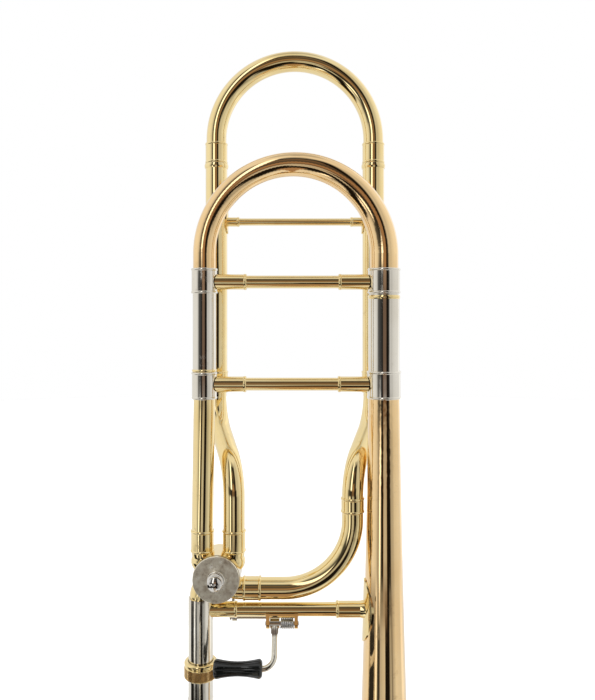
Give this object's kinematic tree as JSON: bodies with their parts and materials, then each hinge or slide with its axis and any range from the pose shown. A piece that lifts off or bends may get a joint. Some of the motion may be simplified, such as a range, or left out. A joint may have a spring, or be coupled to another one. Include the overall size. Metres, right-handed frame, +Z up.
{
  "type": "tenor trombone",
  "caption": "Tenor trombone with an open-wrap rotary-valve attachment: flared bell, U-shaped tuning slides, thumb lever and long hand slide.",
  "frame": {"origin": "middle of the mouthpiece receiver's mouth", "axes": "+Z up, away from the bell's mouth and along every slide tube; +X from the slide towards the bell; +Y from the upper slide tube towards the bell plane"},
  "size_m": [0.2458, 0.216, 1.219],
  "materials": {
    "rose_brass": "clear lacquered gold brass, polished",
    "yellow_brass": "clear lacquered yellow brass, polished",
    "nickel_silver": "polished nickel silver under clear lacquer",
    "drawn_nickel": "drawn nickel silver, greased",
    "chrome_plate": "hard chrome plate",
    "dull_nickel": "dull stained nickel with a polished middle knob",
    "rotor_brass": "ground bearing brass",
    "steel": "plain steel",
    "bumper_rubber": "black rubber",
    "cork": "natural cork",
    "black_plastic": "glossy black moulded plastic"
  },
  "bodies": {
    "bell_section": {"bell_stem": "rose_brass", "bell_flare": "rose_brass", "bell_rim_wire": "steel", "bell_ferrule": "nickel_silver", "large_outer_leg": "nickel_silver", "large_leg_ring": "yellow_brass", "small_inner_leg": "drawn_nickel", "small_leg_ferrule": "nickel_silver", "neck_tube": "yellow_brass", "lower_tuning_brace": "yellow_brass", "brace_sockets": "yellow_brass", "valve_casing": "yellow_brass", "valve_cap": "dull_nickel", "bearing_plate": "yellow_brass", "stop_plate": "yellow_brass", "rotor_bumpers": "bumper_rubber", "port_ferrules": "yellow_brass", "bell_brace": "yellow_brass", "bell_brace_flange": "yellow_brass", "lever_bracket": "yellow_brass", "lever_hinge_pin": "steel", "lever_spring": "steel", "f_lower_tube": "yellow_brass", "f_branch_right": "yellow_brass", "f_branch_left": "yellow_brass", "f_outer_legs": "yellow_brass", "f_leg_ferrules": "yellow_brass", "f_leg_brace": "yellow_brass", "slide_receiver": "nickel_silver"},
    "tuning_slide": {"tuning_crook": "rose_brass", "crook_ferrules": "nickel_silver", "small_outer_leg": "nickel_silver", "small_leg_ring": "yellow_brass", "large_inner_leg": "drawn_nickel", "upper_tuning_brace": "yellow_brass", "upper_brace_sockets": "yellow_brass"},
    "f_tuning_slide": {"f_crook": "yellow_brass", "f_crook_ferrules": "yellow_brass", "f_inner_legs": "drawn_nickel"},
    "valve_rotor": {"rotor": "rotor_brass", "stop_arm": "nickel_silver", "stop_arm_screw": "steel"},
    "lever": {"thumb_lever": "nickel_silver"},
    "thumb_roller": {"thumb_grip": "black_plastic"},
    "valve_link": {"link_rod": "nickel_silver"},
    "lock_nut": {"slide_lock_nut": "yellow_brass"},
    "inner_slide": {"lower_cork_barrel": "nickel_silver", "upper_cork_barrel": "nickel_silver", "mouthpiece_receiver": "nickel_silver", "leadpipe": "yellow_brass", "inner_slide_tubes": "chrome_plate", "inner_slide_brace": "nickel_silver"},
    "slide_lock": {"slide_lock_ring": "nickel_silver"},
    "outer_slide": {"outer_slide_tubes": "nickel_silver", "outer_slide_brace": "nickel_silver", "slide_bow": "yellow_brass", "bow_bumper": "bumper_rubber", "water_key_pin": "steel"},
    "spit_key": {"water_key": "nickel_silver", "water_key_cork": "cork"}
  },
  "joints": [
    {"name": "tuning_slide_pull", "type": "slide", "parent": "bell_section", "child": "tuning_slide", "axis": [0, 0, 1], "range_m": [0, 0.04]},
    {"name": "f_slide_pull", "type": "slide", "parent": "bell_section", "child": "f_tuning_slide", "axis": [0, 0, 1], "range_m": [0, 0.085]},
    {"name": "lever_press", "type": "hinge", "parent": "bell_section", "child": "lever", "pos_m": [0.05115, 0.088, 0.0272], "axis": [-1, 0, 0], "range_deg": [0, 36.6], "stiffness_Nm_per_rad": 0.08, "springref_deg": -28.65},
    {"name": "roller_spin", "type": "hinge", "parent": "lever", "child": "thumb_roller", "pos_m": [0.027, 0.072, 0.0036], "axis": [1, 0, 0], "continuous": true},
    {"name": "link_swing", "type": "hinge", "parent": "lever", "child": "valve_link", "pos_m": [0.0213, 0.114, 0.0206], "axis": [0.9943, 0.1002, 0.0351], "range_deg": [0, 26.6]},
    {"name": "rotor_turn", "type": "hinge", "parent": "bell_section", "child": "valve_rotor", "pos_m": [0.0121, 0.088, 0.0625], "axis": [0, 1, 0], "range_deg": [0, 90]},
    {"name": "lock_nut_turn", "type": "hinge", "parent": "bell_section", "child": "lock_nut", "pos_m": [0, 0.088, -0.005], "axis": [0, 0, 1], "continuous": true},
    {"name": "slide_angle", "type": "hinge", "parent": "bell_section", "child": "inner_slide", "pos_m": [0, 0.088, 0], "axis": [0, 0, 1], "range_deg": [-20, 20]},
    {"name": "slide_lock_turn", "type": "hinge", "parent": "inner_slide", "child": "slide_lock", "pos_m": [0, 0.088, -0.108], "axis": [0, 0, 1], "range_deg": [0, 35]},
    {"name": "hand_slide", "type": "slide", "parent": "inner_slide", "child": "outer_slide", "axis": [0, 0, -1], "range_m": [0, 0.6]},
    {"name": "water_key_press", "type": "hinge", "parent": "outer_slide", "child": "spit_key", "pos_m": [0, 0.08781, -0.75523], "axis": [1, 0, 0], "range_deg": [0, 14], "stiffness_Nm_per_rad": 0.03, "springref_deg": -34.38}
  ],
  "couplings": [
    {"joint": "rotor_turn", "follows": "lever_press", "ratio": 2.453},
    {"joint": "link_swing", "follows": "lever_press", "ratio": 0.72197}
  ]
}
